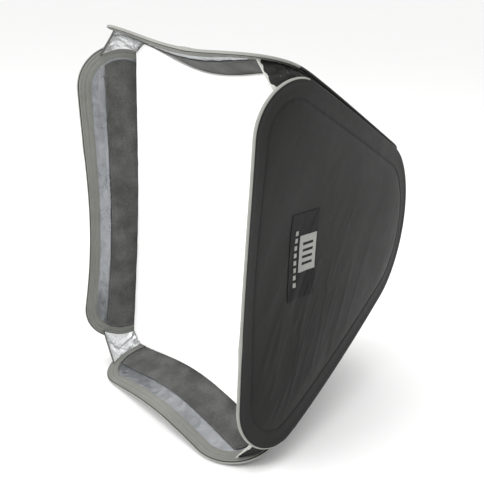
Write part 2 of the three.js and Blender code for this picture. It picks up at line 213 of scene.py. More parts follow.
def panel_distance(panel, along, share):
    """How far the middle surface is from the box's axis: a straight taper from mouth to rear,
    an outward curve that is greatest half way, the pinch of the rim's middle, and rim waves
    that die away over the first part of the depth."""
    q = np.clip(along / panel.span, -1, 1)
    fade = np.maximum(0, 1 - share / wave_reach) ** 2
    waves = (panel.lean * np.sin(pi * q) - panel.wave * np.cos(pi * q)) * fade
    pinch = panel.pinch * np.cos(pi * q / 2) ** 2 * (1 - share)
    curve = panel.bulge * 4 * share * (1 - share)
    return panel.half + (panel.rear_half - panel.half) * share + curve + waves - pinch


def panel_points(panel, along, down, height):
    """Points of a panel from its flat pattern: along the rim, down from the rim, and height
    above the middle surface, outwards positive."""
    share = down / panel.slope
    distance = panel_distance(panel, along, share) + height * depth / panel.slope
    y = depth * (share - 1) + height * (panel.half - panel.rear_half) / panel.slope
    points = distance[..., None] * panel.outward + along[..., None] * panel.along
    points[..., 1] = y
    return points


def hoop_outline(panel, count):
    """The hoop's edge in the flat pattern, in equal steps: a straight rim, two round corners,
    two tapering sides and one rear arc. Returns points, inward normals and lengths run."""
    inset = seam_inset / cos(panel.taper)
    rim_half = panel.span - inset
    panel.rim_half = rim_half
    panel.corner_x = rim_half - corner_radius / tan((pi / 2 - panel.taper) / 2)
    panel.rear_radius = (panel.rear_span - inset) * cos(panel.taper) / (1 - sin(panel.taper))
    arcs = [(panel.corner_x, corner_radius, corner_radius, -pi / 2, panel.taper),
            (0, panel.slope - panel.rear_radius, panel.rear_radius, panel.taper, pi - panel.taper),
            (-panel.corner_x, corner_radius, corner_radius, pi - panel.taper, 1.5 * pi)]
    angle = np.concatenate([np.linspace(a, b, 90) for *_, a, b in arcs] + [[1.5 * pi]])
    centre = np.repeat([(x, y, r) for x, y, r, *_ in arcs], 90, axis=0)
    x = centre[:, 0] + centre[:, 2] * np.cos(angle[:-1])
    y = centre[:, 1] + centre[:, 2] * np.sin(angle[:-1])
    x, y = np.append(x, x[0]), np.append(y, y[0])
    run = np.concatenate([[0], np.cumsum(np.hypot(np.diff(x), np.diff(y)))])
    at = np.linspace(0, run[-1], count, endpoint=False)
    points = np.stack([np.interp(at, run, x), np.interp(at, run, y)], -1)
    turned = np.interp(at, run, angle)
    return points, -np.stack([np.cos(turned), np.sin(turned)], -1), at


def cloth_rings(panel, insets, inner_rings, count=360):
    """Rings of the flat pattern: first a fixed way inside the hoop, then closing on the middle.
    Returns the rings, and how far each point is from the hoop's edge."""
    edge, inward, _ = hoop_outline(panel, count)
    insets = np.array(insets) * mm
    outer = edge + insets[:, None, None] * inward
    shares = np.linspace(0, 1, inner_rings + 2)[1:-1, None, None]
    middle = np.array([0, 0.45 * panel.slope])
    inner = outer[-1] + (middle - outer[-1]) * shares
    away = insets[-1] + np.linalg.norm(inner - outer[-1], axis=-1)
    return np.concatenate([outer, inner]), np.concatenate([np.repeat(insets[:, None], count, 1), away])


def smooth_noise(x, y, step, seed):
    """Seeded heights on a square lattice, step apart, joined smoothly; from -1 to 1."""
    size = 97
    lattice = np.random.default_rng(seed).uniform(-1, 1, (size, size))
    u, v = x / step + 40.3, y / step + 40.7
    i, j = np.floor(u).astype(int), np.floor(v).astype(int)
    a, b = u - i, v - j
    a, b = a * a * (3 - 2 * a), b * b * (3 - 2 * b)
    i, j, ii, jj = i % size, j % size, (i + 1) % size, (j + 1) % size
    low = lattice[i, j] * (1 - a) + lattice[ii, j] * a
    high = lattice[i, jj] * (1 - a) + lattice[ii, jj] * a
    return low * (1 - b) + high * b


def creases(x, y, step, seed):
    """Sharp-topped folds: one less the size of smooth noise, squared; from 0 to 1."""
    return (1 - np.abs(smooth_noise(x, y, step, seed))) ** 3


def slant_folds(along, down, seed):
    """Long shallow folds that lean from the front of the lower half up towards the rear."""
    lean = radians(64)
    across = down * sin(lean) - along * cos(lean)
    length = down * cos(lean) + along * sin(lean)
    folds = (creases(across, length / 7, 15 * mm, seed)
             + 0.6 * creases(across, length / 5, 8 * mm, seed + 1))
    low = 1 / (1 + np.exp((along + 10 * mm) / (40 * mm)))
    front = 1 / (1 + np.exp((down - 210 * mm) / (60 * mm)))
    return folds * (0.08 + 0.92 * low * front)


def skin_height(along, down, inset, seed):
    """Height of the nylon: over the wire in its channel, down to the hem's seam, then proud of
    it by a few millimetres with slant folds."""
    d = inset / mm
    channel = 1.0 * np.exp(-((d - 5.2) / 3.2) ** 2)
    rearward = 0.35 + 0.65 * np.clip(down / (150 * mm), 0, 1)
    seam = -1.1 * rearward * np.exp(-((d - hem_width) / 1.3) ** 2)
    proud = 5.2 * rearward * (1 - np.exp(-np.maximum(0, d - hem_width) / 14))
    slack = np.clip((d - hem_width) / 25, 0, 1)
    swell = 1.2 * smooth_noise(along, down, 60 * mm, seed + 2)
    folds = 1.5 * (slant_folds(along, down, seed) - 0.5) + swell
    pucker = 0.28 * smooth_noise(along, down, 7 * mm, seed + 3) * np.exp(-((d - hem_width) / 7) ** 2)
    return (1.1 + channel + seam + proud + slack * folds + pucker) * mm


hem_width = 25
hem_insets = [3, 3.8, 4.6, 5.6, 7, 9, 12, 15, 18, 20.5, 22.5, 23.6, 24.4, 25, 25.6, 26.4, 27.6,
              29.2, 31.5, 34.5, 38, 42]


def mesh_piece(name, points, faces, uv, materials, sharp=50):
    """A mesh object in place, smooth but for its sharp edges, with a cloth map in metres.
    faces is a list of arrays of corner numbers."""
    flat_points = np.concatenate([p.reshape(-1, 3) for p in points])
    triangles = np.concatenate([f[:, [0, k, k + 1]] for f in faces for k in range(1, f.shape[1] - 1)])
    a, b, c = (flat_points[triangles[:, k]] for k in range(3))
    turned = np.einsum("ij,ij->i", a, np.cross(b, c)).sum() < 0
    mesh = bpy.data.meshes.new(name)
    corners = [row for f in faces for row in (f[:, ::-1] if turned else f).tolist()]
    mesh.from_pydata(flat_points.tolist(), [], corners)
    layer = mesh.uv_layers.new(name="cloth")
    order = np.empty(len(mesh.loops), int)
    mesh.loops.foreach_get("vertex_index", order)
    layer.data.foreach_set("uv", np.concatenate([u.reshape(-1, 2) for u in uv])[order].ravel())
    mesh.polygons.foreach_set("use_smooth", np.ones(len(mesh.polygons), bool))
    mesh.set_sharp_from_angle(angle=radians(sharp))
    for material in materials:
        mesh.materials.append(material)
    piece = bpy.data.objects.new(name, mesh)
    bpy.context.scene.collection.objects.link(piece)
    return piece


def ring_quads(rows, columns, start=0):
    """Four-cornered faces between rows of points that each close on themselves."""
    i, j = np.meshgrid(np.arange(rows - 1), np.arange(columns), indexing="ij")
    after = (j + 1) % columns
    quads = np.stack([i * columns + j, i * columns + after, (i + 1) * columns + after,
                      (i + 1) * columns + j], -1)
    return quads.reshape(-1, 4) + start


def shell_piece(name, outer, inner, uv, materials):
    """A closed cloth disc: an outer and an inner face made of rings, each closed at its middle,
    joined round the rim."""
    rows, count = outer.shape[:2]
    size = rows * count + 1
    last = (rows - 1) * count + np.arange(count)
    after = (rows - 1) * count + (np.arange(count) + 1) % count
    fan = np.stack([last, after, np.full(count, size - 1)], -1)
    rim = np.arange(count)
    next_rim = (rim + 1) % count
    band = np.stack([next_rim, rim, rim + size, next_rim + size], -1)
    faces = [ring_quads(rows, count), ring_quads(rows, count, size)[:, ::-1], band, fan,
             fan[:, ::-1] + size]
    centre = [face[-1].mean(axis=0)[None] for face in (outer, inner)]
    points = [outer, centre[0], inner, centre[1]]
    middle_uv = uv[-1].mean(axis=0)[None]
    return mesh_piece(name, points, faces, [uv, middle_uv, uv, middle_uv], materials)


def weave_group():
    """Plain weave: warp and weft threads that pass over and under each other, as the product of
    two sine waves of the cloth map; threads per metre is an input."""
    group, given, leave = shader_group("woven threads", [("Vector", "Vector"), ("Threads", "Float")],
                                       [("Height", "Float")])
    split = add_node(group, "SeparateXYZ", {0: given["Vector"]})
    waves = []
    for axis in "XY":
        turns = add_node(group, "Math", {0: split.outputs[axis], 1: given["Threads"]},
                         operation="MULTIPLY")
        around = add_node(group, "Math", {0: turns.outputs[0], 1: 2 * pi}, operation="MULTIPLY")
        waves.append(add_node(group, "Math", {0: around.outputs[0]}, operation="SINE").outputs[0])
    product = add_node(group, "Math", {0: waves[0], 1: waves[1]}, operation="MULTIPLY")
    height = add_node(group, "Math", {0: product.outputs[0], 1: 0.5, 2: 0.5}, operation="MULTIPLY_ADD")
    group.links.new(height.outputs[0], leave.inputs["Height"])
    return group


def crumple_group():
    """Fine creases of handled cloth: folded noise, sharp at its ridges, in two sizes."""
    group, given, leave = shader_group("crumpled cloth", [("Vector", "Vector"), ("Scale", "Float")],
                                       [("Height", "Float")])
    heights = []
    for factor in (1.0, 3.3):
        scale = add_node(group, "Math", {0: given["Scale"], 1: factor}, operation="MULTIPLY")
        noise = add_node(group, "TexNoise", {"Vector": given["Vector"], "Scale": scale.outputs[0],
                                             "Detail": 2.0, "Distortion": 0.6})
        centred = add_node(group, "Math", {0: noise.outputs["Fac"], 1: 0.5}, operation="SUBTRACT")
        folded = add_node(group, "Math", {0: centred.outputs[0]}, operation="ABSOLUTE")
        heights.append(folded.outputs[0])
    both = add_node(group, "Math", {0: heights[1], 1: 0.4, 2: heights[0]}, operation="MULTIPLY_ADD")
    upright = add_node(group, "Math", {0: 1.0, 1: both.outputs[0]}, operation="SUBTRACT")
    group.links.new(upright.outputs[0], leave.inputs["Height"])
    return group


weave = weave_group()
crumple = crumple_group()


def cloth_material(name, dark, light, roughness, threads, weave_bump, crumple_scale, crumple_bump,
                   metallic=0.0, sheen=0.0, gloss=0.35, gloss_spread=0.06):
    """A woven cloth: two shades in soft patches, threads and creases in its normal, and a
    roughness that drifts by gloss_spread with the patches."""
    material, tree, shader = plain_material(name, light, roughness, metallic, sheen, gloss)
    cloth_map = add_node(tree, "UVMap", uv_map="cloth").outputs[0]
    where = add_node(tree, "TexCoord").outputs["Object"]
    marks = place_group(tree, handling, {"Vector": where, "Scale": 9.0})
    vary_colour(tree, shader, marks.outputs[0], dark, light)
    rough = add_node(tree, "MapRange", {"Value": marks.outputs[0], "To Min": roughness - gloss_spread,
                                        "To Max": roughness + gloss_spread})
    tree.links.new(rough.outputs[0], shader.inputs["Roughness"])
    folds = place_group(tree, crumple, {"Vector": where, "Scale": crumple_scale})
    threads_node = place_group(tree, weave, {"Vector": cloth_map, "Threads": threads})
    under = add_bump(tree, shader, folds.outputs[0], crumple_bump, 0.004)
    add_bump(tree, shader, threads_node.outputs[0], weave_bump, 0.0003, under)
    return material


def pattern_area(panel):
    """Area inside the hoop's outline in the flat pattern, by the sum of cross products."""
    x, y = hoop_outline(panel, 360)[0].T
    return float(0.5 * abs(np.sum(x * np.roll(y, -1) - y * np.roll(x, -1))))


skin_back = 0.2 * mm
black_nylon = cloth_material("black_nylon", (0.0095, 0.0095, 0.0092), (0.0145, 0.0143, 0.0136), 0.52,
                             1100.0, 0.3, 26.0, 0.14, gloss=0.17)

for seed, side in enumerate(sides):
    panel = panels[side]
    rings, inset = cloth_rings(panel, hem_insets, 34)
    along, down = rings[..., 0], rings[..., 1]
    height = skin_height(along, down, inset, 10 * seed + 5)
    skin = shell_piece(f"{side}_outer_cloth", panel_points(panel, along, down, height),
                       panel_points(panel, along, down, np.full_like(height, skin_back)), rings,
                       [black_nylon])
    panel.cut = dict(flat=(2 * panel.span, panel.slope), area=pattern_area(panel))
    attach(skin, f"{side}_panel")
    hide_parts(f"{side}_outer_skin")


# ---- Silver linings --------------------------------------------------------------------------
# The inside of each panel is thin silver-coated cloth, cut as large as the skin and sewn to it
# at the hem only, so it creases freely. The bands of loop tape hold it flat where they cross.

loop_start, loop_width = 42 * mm, 60 * mm


def lining_height(along, down, inset, seed):
    """Depth of the lining below the middle surface: sharp creases that fan in from the hem,
    calmed to almost flat under the loop tape."""
    d = inset / mm
    crossed = creases(along + down, along - down, 13 * mm, seed + 1)
    fan = creases(along, down / 2.5, 26 * mm, seed) + 0.7 * crossed
    small = creases(along, down, 6 * mm, seed + 2)
    ramp = np.clip((d - 17) / 6, 0, 1)
    from_band = np.maximum(loop_start - down, down - loop_start - loop_width) / mm
    calm = np.clip(from_band / 5, 0.12, 1)
    deep = 1.3 + np.clip(from_band / 40, 0, 1) * (down > loop_start) * 1.6
    return -(1.2 + ramp * calm * (deep * fan + 0.35 * small)) * mm


lining_insets = [5, 12, *np.arange(17, 38.5, 1.5), 40, 42, 44]
lining_back = -0.25 * mm
silver_cloth = cloth_material("silver_cloth", (0.2, 0.21, 0.225), (0.38, 0.39, 0.405), 0.32,
                              1400.0, 0.1, 55.0, 0.55, metallic=0.75, gloss_spread=0.1)

for seed, side in enumerate(sides):
    panel = panels[side]
    rings, inset = cloth_rings(panel, lining_insets, 60)
    along, down = rings[..., 0], rings[..., 1]
    height = lining_height(along, down, inset, 10 * seed + 60)
    lining = shell_piece(f"{side}_lining_cloth",
                         panel_points(panel, along, down, np.full_like(height, lining_back)),
                         panel_points(panel, along, down, height), rings, [silver_cloth])
    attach(lining, f"{side}_panel")
    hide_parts(f"{side}_silver_lining")


# ---- Edge bindings ---------------------------------------------------------------------------
# A grey tape is folded round the edge of each hoop and sewn down in rows: a narrow leg on the
# outside, a wide one on the inside. Its ends lap over the wire's sleeve and make a small lump.

tape_rows = (6.0, 12.0, 18.6)
tape_stitch_height, hem_stitch_height = -3.02, 1.62
tape_section = [(3.7, 1.7), (3.1, 2.1), (2.1, 2.05), (1.0, 1.7), (0.3, 1.0), (0, 0), (0.3, -1.0),
                (1.0, -1.8), (2.4, -2.5), (4.2, -2.9), (5.2, -2.95), (6, -2.65), (6.8, -3.0),
                (8.5, -3.12), (10.2, -3.1), (11.2, -3.0), (12, -2.68), (12.8, -3.0), (15, -3.12),
                (17.6, -3.05), (18.6, -2.75), (19.6, -2.95), (20.4, -2.8), (20.5, -2.5), (20.2, -2.2),
                (12, -2.1), (4, -1.95), (1.6, -1.2), (0.8, 0), (1.4, 0.9), (2.4, 1.4), (3.6, 1.45)]
# Section faces round the fold of the tape; near the mouth they take a lighter copy of the tape's colour,
# a painted highlight.
painted_highlight_faces = range(2, 7)
outer_faces = range(8)


def ring_tube(name, points, uv, materials, sharp=60):
    """A section carried round a closed path: points is stations by section corners."""
    stations, corners = points.shape[:2]
    i, j = np.meshgrid(np.arange(stations), np.arange(corners), indexing="ij")
    ii, jj = (i + 1) % stations, (j + 1) % corners
    quads = np.stack([i * corners + j, ii * corners + j, ii * corners + jj, i * corners + jj], -1)
    return mesh_piece(name, [points], [quads.reshape(-1, 4)], [uv], materials, sharp)


stitch_length, stitch_gap = 2.5 * mm, 1.3 * mm
stitch_width, stitch_lift = 0.55 * mm, 0.3 * mm


def stitch_row(name, points, up_way, material):
    """One row of thread along a path of points: each stitch is a small bead with eight faces
    and its long axis on the path, made for all stitches at once. up_way points off the cloth."""
    steps = np.linalg.norm(np.diff(points, axis=0), axis=1)
    run = np.concatenate([[0], np.cumsum(steps)])
    at = np.arange(0.5 * stitch_length, run[-1], stitch_length + stitch_gap)

    def on_path(places):
        return np.stack([np.interp(places, run, points[:, k]) for k in range(3)], -1)

    near = 0.3 * mm
    path = on_path(at + near) - on_path(at - near)
    path /= np.linalg.norm(path, axis=1)[:, None] + 1e-12
    up = np.repeat(up_way[None], len(at), 0)
    half_long = path * stitch_length / 2
    half_wide = np.cross(path, up) * stitch_width / 2
    rise = up * stitch_lift
    beads = on_path(at)[:, None] + np.stack([half_long, -half_long, half_wide, -half_wide,
                                             rise, -rise], 1)
    shape = np.array([(0, 2, 4), (2, 1, 4), (1, 3, 4), (3, 0, 4),
                      (2, 0, 5), (1, 2, 5), (3, 1, 5), (0, 3, 5)])
    faces = (np.arange(len(at))[:, None, None] * 6 + shape).reshape(-1, 3)
    uv = np.repeat(at[:, None], 12, 1).reshape(-1, 6, 2)
    return mesh_piece(name, [beads], [faces], [uv], [material], 180)


edge_tape = cloth_material("edge_tape", (0.15, 0.153, 0.138), (0.215, 0.217, 0.2), 0.8,
                           620.0, 0.45, 40.0, 0.12)
# A lighter copy of the edge tape for its fold at the mouth: a painted highlight where the front light
# falls, not a paler tape.
tape_painted_highlight = cloth_material("tape_painted_highlight", (0.24, 0.24, 0.222), (0.32, 0.32, 0.3), 0.8,
                          620.0, 0.45, 40.0, 0.12)
grey_thread = cloth_material("grey_thread", (0.15, 0.15, 0.14), (0.22, 0.22, 0.2), 0.7,
                             2500.0, 0.3, 90.0, 0.1)
black_thread = cloth_material("black_thread", (0.012, 0.012, 0.012), (0.02, 0.02, 0.02), 0.6,
                              2500.0, 0.3, 90.0, 0.1)
section = np.array(tape_section) * mm

for seed, side in enumerate(sides):
    panel = panels[side]
    edge, inward, run = hoop_outline(panel, 560)
    rim_point = panel_points(panel, edge[:, 0], edge[:, 1], np.zeros(len(edge)))
    sleeve = np.mean([np.array(corner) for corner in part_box(f"{side}_wire_ferrule")], axis=0)
    from_sleeve = np.linalg.norm(rim_point - sleeve, axis=1) / mm
    lump = 0.9 * np.exp(-(from_sleeve / 13) ** 2)
    d, h = section[None, :, 0], section[None, :, 1]
    leg = np.clip(d / (20 * mm), 0, 1)
    ripple = 0.3 * smooth_noise(run[:, None] + 0 * d, d * 3, 8 * mm, 90 + seed) * leg
    swell = np.sign(h) * lump[:, None] * np.exp(-((d / mm - 3.5) / 4) ** 2)
    outwards = -lump[:, None] * 0.7 * np.exp(-(d / mm / 4) ** 2)
    place = edge[:, None] + (d + outwards * mm)[..., None] * inward[:, None]
    height = h + (swell + ripple * (h < -2.2 * mm)) * mm
    uv = np.stack(np.broadcast_arrays(run[:, None], d + (h > 0) * 0.03), -1)
    ring = panel_points(panel, place[..., 0], place[..., 1], height)
    tape = ring_tube(f"{side}_binding_tape", ring, uv, [edge_tape, tape_painted_highlight, black_nylon])
    # Fold faces near the mouth get the lighter tape, a painted highlight; the outer leg gets the black
    # nylon.
    near_rim = (edge[:, 1] < 1.25 * corner_radius)[:, None]
    face_number = np.arange(len(section))[None]
    outer = np.isin(face_number, outer_faces)
    pale = near_rim & np.isin(face_number, painted_highlight_faces)
    tape.data.polygons.foreach_set("material_index", np.where(pale, 1, np.where(outer, 2, 0)).ravel())
    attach(tape, f"{side}_panel")
    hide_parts(f"{side}_edge_binding")

    rows = [(row, tape_stitch_height, grey_thread, "edge_tape") for row in tape_rows]
    rows.append((hem_width, hem_stitch_height, black_thread, "black_nylon"))
    for number, (row, stitch_height, thread, slot) in enumerate(rows):
        spot = edge + row * mm * inward
        spot = np.concatenate([spot, spot[:1]])
        path = panel_points(panel, spot[:, 0], spot[:, 1], np.full(len(spot), stitch_height * mm))
        stitches = stitch_row(f"{side}_stitches_{number}", path, panel.outward, thread)
        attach(stitches, f"{side}_panel")


# ---- Loop bands ------------------------------------------------------------------------------
# A wide band of brushed loop tape runs across the inside of each panel near the mouth, sewn
# along both edges. The diffuser's hook tape presses on anywhere along it.

def clear_half(panel, down, inset):
    """Half the clear length across a panel at one depth, a given way inside the hoop: a chord
    of the corner arc, then the tapering side."""
    side_half = panel.rim_half - inset / cos(panel.taper) - down * tan(panel.taper)
    radius = corner_radius - inset
    chord = panel.corner_x + np.sqrt(np.maximum(0, radius ** 2 - (corner_radius - down) ** 2))
    return np.where(down >= corner_radius + radius * sin(panel.taper), side_half, chord)


def slab_piece(name, front, back, uv, materials, sharp=50, back_material=0):
    """A closed sheet from two grids of points, joined round all four edges."""
    rows, columns = front.shape[:2]
    index = np.arange(rows * columns).reshape(rows, columns)
    size = rows * columns

    def quads(grid):
        return np.stack([grid[:-1, :-1], grid[1:, :-1], grid[1:, 1:], grid[:-1, 1:]], -1).reshape(-1, 4)

    loop = np.concatenate([index[0, :-1], index[:-1, -1], index[-1, :0:-1], index[:0:-1, 0]])
    after = np.roll(loop, -1)
    band = np.stack([loop, after, after + size, loop + size], -1)
    faces = [quads(index), quads(index + size)[:, ::-1], band]
    piece = mesh_piece(name, [front, back], faces, [uv, uv], materials, sharp)
    numbers = np.zeros(len(piece.data.polygons), int)
    numbers[len(faces[0]):2 * len(faces[0])] = back_material
    piece.data.polygons.foreach_set("material_index", numbers)
    return piece


tape_margin = 24 * mm


def cross_tape(name, panel, start, width, back, face, materials, seed, wave=0.3):
    """A tape across the inside of a panel between two depths: back and face are the heights of
    its two sides, and its face is slightly wavy along its length."""
    u, v = np.meshgrid(np.linspace(-1, 1, 220), np.linspace(0, 1, 15), indexing="ij")
    down = start + v * width
    along = u * clear_half(panel, down, tape_margin)
    ripple = wave * smooth_noise(along, down, 17 * mm, seed) * mm
    edge = 0.25 * mm * (np.abs(2 * v - 1) ** 12)
    front = panel_points(panel, along, down, -face + ripple + edge)
    rear = panel_points(panel, along, down, -back + ripple * 0.3)
    return slab_piece(name, front, rear, np.stack([along, down], -1), materials), along, down


def pile_material(name, dark, light, scale, bump):
    """Brushed loop pile: fine round noise in colour and height, with a felted drift."""
    material, tree, shader = plain_material(name, light, 0.95, sheen=0.05, gloss=0.15)
    where = add_node(tree, "TexCoord").outputs["Object"]
    loops = add_node(tree, "TexNoise", {"Vector": where, "Scale": scale, "Detail": 3.0})
    marks = place_group(tree, handling, {"Vector": where, "Scale": 30.0})
    both = add_node(tree, "Math", {0: loops.outputs["Fac"], 1: marks.outputs[0]}, operation="MULTIPLY")
    spread = add_node(tree, "MapRange", {"Value": both.outputs[0], "From Min": 0.1, "From Max": 0.55})
    vary_colour(tree, shader, spread.outputs[0], dark, light)
    under = add_bump(tree, shader, marks.outputs[0], 0.25, 0.0015)
    add_bump(tree, shader, loops.outputs["Fac"], bump, 0.0012, under)
    return material


loop_pile = pile_material("loop_tape", (0.062, 0.062, 0.06), (0.125, 0.125, 0.122), 900.0, 0.8)

for seed, side in enumerate(sides):
    panel = panels[side]
    band, along, down = cross_tape(f"{side}_loop_tape", panel, loop_start, loop_width,
                                   2.3 * mm, 3.3 * mm, [loop_pile], 130 + seed)
    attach(band, f"{side}_panel")
    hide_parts(f"{side}_loop_band")
    for number, column in enumerate((1, -2)):
        path = panel_points(panel, along[:, column], down[:, column], np.full(len(along), -3.35 * mm))
        stitches = stitch_row(f"{side}_loop_stitches_{number}", path, panel.outward, black_thread)
        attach(stitches, f"{side}_panel")


# ---- Corner gussets --------------------------------------------------------------------------
# Each corner is closed by one strip of cloth, silver inside and black outside, sewn to the
# bindings of both hoops. It is wide where the hoops' round corners part and pulled into creases.

lap = 8 * mm
gusset_lift = 3.4 * mm
corner_places = {
    "top_right": ("right", 1, "top", 1, "right_panel", "top_panel", "top_fold"),
    "bottom_right": ("right", -1, "bottom", 1, "right_panel", "bottom_panel", "fold"),
    "bottom_left": ("left", -1, "bottom", -1, "left_panel", "bottom_panel", "left_fold"),
    "top_left": ("left", 1, "top", -1, "left_panel", "top_panel", None),
}


def seam_run(panel, end, u):
    """The line where a gusset is sewn to a hoop: from half way round the front corner, down the
    side, to a quarter of the way round the rear arc. u runs 0 to 3, 3 to 7 and 7 to 10 there."""
    front = np.interp(u, [0, 3], [(panel.taper - pi / 2) / 2, panel.taper])
    rear = np.interp(u, [7, 10], [panel.taper, panel.taper + (pi - 2 * panel.taper) / 4])
    share = np.clip((u - 3) / 4, 0, 1)[..., None]
    on_front = np.stack([panel.corner_x + corner_radius * np.cos(front),
                         corner_radius + corner_radius * np.sin(front)], -1)
    on_rear = np.stack([panel.rear_radius * np.cos(rear),
                        panel.slope - panel.rear_radius + panel.rear_radius * np.sin(rear)], -1)
    angle = np.where(u < 5, front, rear)
    at = on_front * (1 - share) + on_rear * share - lap * np.stack([np.cos(angle), np.sin(angle)], -1)
    return panel_points(panel, end * at[..., 0], at[..., 1], np.full(u.shape, -gusset_lift))


def corner_facing(place):
    """The way a corner faces into the box, half way between its two panels."""
    tall_side, _, flat_side, *_ = corner_places[place]
    return -(panels[tall_side].outward + panels[flat_side].outward) / sqrt(2)


def corner_parts(place):
    """A corner's cloth as name endings, shares of its width and bodies. A hinged corner is one
    piece; the open corner is two lapped halves, each on its own panel."""
    *_, tall_body, flat_body, joint = corner_places[place]
    return [("", 0, 1, None)] if joint else [("_side", 0, 0.8, tall_body), ("_cap", 0.2, 1, flat_body)]


def follow_corner(piece, place, body, across_hint):
    """A piece rides its body, or else keeps its place, with its placing baked into its mesh."""
    *_, tall_body, flat_body, joint = corner_places[place]
    if body:
        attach(piece, body)
        return
    hinge = next(j for j in frame["joints"] if j["name"] == joint)
    across = np.cross(np.array(hinge["axis"]), corner_facing(place))
    across *= np.sign(across @ across_hint) / np.linalg.norm(across)
    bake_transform(piece)


gusset_thick, half_gap = 0.5 * mm, 1.2 * mm


def corner_cloth(place, first, last, rows=26, columns=120):
    """The gusset between two shares of its width: straight lines from hoop to hoop, bowed
    outwards behind the free edge, with creases pulled from seam to seam. Returns its inner
    face and its map."""
    tall_side, tall_end, flat_side, flat_end, *_ = corner_places[place]
    u, v = np.meshgrid(np.linspace(0, 10, columns), np.linspace(first, last, rows), indexing="ij")
    a = seam_run(panels[tall_side], tall_end, u)
    b = seam_run(panels[flat_side], flat_end, u)
    facing = corner_facing(place)
    width = np.linalg.norm(b - a, axis=-1)
    down = u * 42 * mm
    loose = np.clip(u / 1.4, 0, 1) * 4 * v * (1 - v)
    pulled = creases(v * width + 0.25 * down, down / 3.5, 11 * mm, len(place)) - 0.4
    small = creases(v * width - down * 0.5, down + v * width, 6 * mm, len(place) + 7) - 0.4
    bow = -0.10 * width * loose + (3.0 * pulled + 1.3 * small) * mm * np.clip(loose * 1.6 + 0.1, 0, 1)
    points = a * (1 - v[..., None]) + b * v[..., None] + bow[..., None] * facing
    return points, np.stack([v * width, down], -1)


# The gussets' silver is a far lighter copy of the lining's silver cloth: a painted highlight for the
# light the corners catch at the mouth.
bright_silver = cloth_material("bright_silver", (0.66, 0.67, 0.68), (0.86, 0.87, 0.88), 0.3,
                               1400.0, 0.08, 75.0, 0.75, metallic=0.8, gloss_spread=0.08)

for place in corner_places:
    tall_side = corner_places[place][0]
    facing = corner_facing(place)
    for number, (part, first, last, body) in enumerate(corner_parts(place)):
        points, uv = corner_cloth(place, first, last)
        points = points - number * half_gap * facing
        cloth = slab_piece(f"gusset_{place}{part}", points, points - gusset_thick * facing, uv,
                           [bright_silver, black_nylon], back_material=1)
        follow_corner(cloth, place, body, points[60, -1] - points[60, 0])
        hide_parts(f"corner_gusset_{place}")


# ---- Gusset tapes ----------------------------------------------------------------------------
# The gusset's free edge at the mouth is bound: with pale flat tape at the right corners, and
# with thin dark piping at the left ones. It runs straight from hoop to hoop.

pale_tape = cloth_material("pale_tape", (0.4, 0.41, 0.38), (0.5, 0.5, 0.47), 0.75,
                           620.0, 0.4, 40.0, 0.12, sheen=0.1)
dark_piping = cloth_material("dark_piping", (0.07, 0.07, 0.065), (0.1, 0.1, 0.095), 0.75,
                             900.0, 0.4, 60.0, 0.1)

map_length = 80 * mm
tape_overhang = 1.2 * mm
cap_shift = 0.6 * mm

for place, (tall_side, tall_end, flat_side, flat_end, *_) in corner_places.items():
    right = place.endswith("right")
    width, half_thick = (8 * mm, 0.75 * mm) if right else (2.6 * mm, 0.9 * mm)
    facing = corner_facing(place)
    tall_ends = seam_run(panels[tall_side], tall_end, np.array([0.0, 0.8]))
    flat_ends = seam_run(panels[flat_side], flat_end, np.array([0.0, 0.8]))
    back = tall_ends[1] + flat_ends[1] - tall_ends[0] - flat_ends[0]
    back /= np.linalg.norm(back)
    for part, first, last, body in corner_parts(place):
        u, v = np.meshgrid(np.linspace(first, last, 40), np.linspace(0, 1, 9), indexing="ij")
        edge = tall_ends[0] * (1 - u[..., None]) + flat_ends[0] * u[..., None]
        crown = half_thick * np.sqrt(np.clip(1 - (2 * v - 1) ** 6, 0, 1)) + 0.15 * mm
        ripple = 0.35 * mm * smooth_noise(u * map_length, v * width, 9 * mm, len(place))
        middle = edge + (v * width - tape_overhang)[..., None] * back + ripple[..., None] * facing
        shift = cap_shift if part == "_cap" else 0
        tape = slab_piece(f"gusset_edge_{place}{part}", middle + (crown - shift)[..., None] * facing,
                          middle - (crown + shift)[..., None] * facing,
                          np.stack([u * map_length, v * width], -1),
                          [pale_tape if right else dark_piping])
        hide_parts(f"gusset_tape_{place}")
        follow_corner(tape, place, body, middle[-1, 0] - middle[0, 0])


# ---- Diffuser and its hook tapes -------------------------------------------------------------
# A white polyester cloth with a turned hem fills the mouth a hand's width inside the rim. Four
# strips of hook tape sewn behind its edges press on the loop bands.

diffuser_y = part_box("diffuser_cloth")[0][1]
diffuser_share = 1 + diffuser_y / depth
clearance, corner_gap = 6 * mm, 3 * mm


def diffuser_rim(count=90):
    """The cloth's edge: each side follows its panel at one depth, and each corner is cut
    straight, a little inside the gusset's seams."""
    seams = [clear_half(panels[s], diffuser_share * panels[s].slope, lap) for s in ("top", "right")]
    half_x, half_z = np.array(seams) - corner_gap
    x_line, z_line = np.linspace(-half_x, half_x, count), np.linspace(-half_z, half_z, count)
    reach = {s: panel_distance(panels[s], line, diffuser_share) - clearance
             for s, line in (("right", z_line), ("left", z_line), ("top", x_line), ("bottom", x_line))}
    right, top = np.stack([reach["right"], z_line], -1), np.stack([x_line, reach["top"]], -1)
    left, bottom = np.stack([-reach["left"], z_line], -1), np.stack([x_line, -reach["bottom"]], -1)
    return np.concatenate([right, top[::-1], left[::-1], bottom])


